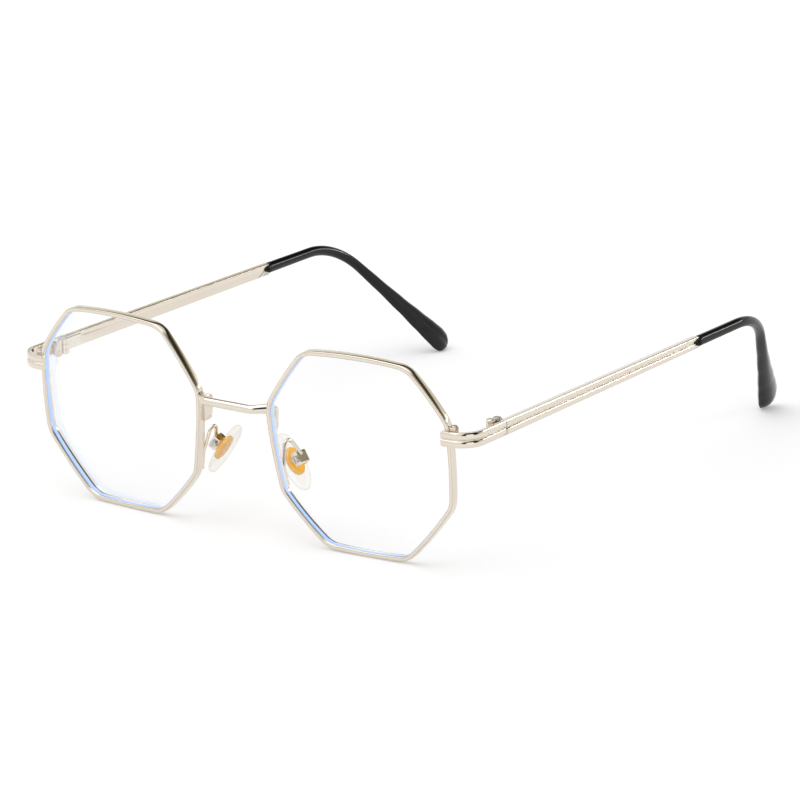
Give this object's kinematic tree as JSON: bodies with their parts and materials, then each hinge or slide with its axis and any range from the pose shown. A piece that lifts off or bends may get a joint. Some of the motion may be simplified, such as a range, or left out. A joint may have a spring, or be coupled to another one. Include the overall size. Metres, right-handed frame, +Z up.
{
  "type": "eyeglasses",
  "caption": "Metal eyeglasses with octagonal rims, clear lenses, ribbed temples on screw hinges, curved glossy tips and rocking nose pads.",
  "frame": {"origin": "centre of the bounding box in plan, on the floor that the rims and the temple tips rest on", "axes": "+X to the wearer's left, -Y the front that the wearer looks towards, +Y back along the temples, +Z up"},
  "size_m": [0.1298, 0.1542, 0.0481],
  "materials": {
    "frame_metal": "polished pale champagne metal",
    "screw_metal": "polished",
    "lens_clear": "clear with a faint blue coating",
    "tip_black": "glossy black",
    "pad_clear": "soft clear plastic",
    "pad_amber": "clear amber plastic"
  },
  "bodies": {
    "front": {"rim_left": "frame_metal", "lens_left": "lens_clear", "brace_plate_left": "frame_metal", "rim_lock_upper_left": "frame_metal", "rim_lock_lower_left": "frame_metal", "rim_lock_screw_left": "screw_metal", "endpiece_left": "frame_metal", "hinge_front_leaf_left": "frame_metal", "hinge_screw_left": "screw_metal", "pad_arm_left": "frame_metal", "pad_box_left": "frame_metal", "pad_screw_left": "screw_metal", "rim_right": "frame_metal", "lens_right": "lens_clear", "brace_plate_right": "frame_metal", "rim_lock_upper_right": "frame_metal", "rim_lock_lower_right": "frame_metal", "rim_lock_screw_right": "screw_metal", "endpiece_right": "frame_metal", "hinge_front_leaf_right": "frame_metal", "hinge_screw_right": "screw_metal", "pad_arm_right": "frame_metal", "pad_box_right": "frame_metal", "pad_screw_right": "screw_metal", "bridge": "frame_metal"},
    "temple_left_body": {"temple_left": "frame_metal", "temple_tip_left": "tip_black", "hinge_rear_leaf_left": "frame_metal"},
    "temple_right_body": {"temple_right": "frame_metal", "temple_tip_right": "tip_black", "hinge_rear_leaf_right": "frame_metal"},
    "pad_left_body": {"nose_pad_left": "pad_clear", "pad_insert_left": "pad_amber"},
    "pad_right_body": {"nose_pad_right": "pad_clear", "pad_insert_right": "pad_amber"}
  },
  "joints": [
    {"name": "temple_fold_left", "type": "hinge", "parent": "front", "child": "temple_left_body", "pos_m": [0.0622, -0.05876, 0.03207], "axis": [0, 0, 1], "range_deg": [0, 90]},
    {"name": "temple_fold_right", "type": "hinge", "parent": "front", "child": "temple_right_body", "pos_m": [-0.0622, -0.05876, 0.03207], "axis": [0, 0, -1], "range_deg": [0, 80]},
    {"name": "pad_rock_left", "type": "hinge", "parent": "front", "child": "pad_left_body", "pos_m": [0.01194, -0.06544, 0.01829], "axis": [0.0872, 0.9962, 0], "range_deg": [-8, 8]},
    {"name": "pad_rock_right", "type": "hinge", "parent": "front", "child": "pad_right_body", "pos_m": [-0.01194, -0.06544, 0.01829], "axis": [-0.0872, 0.9962, 0], "range_deg": [-8, 8]}
  ]
}
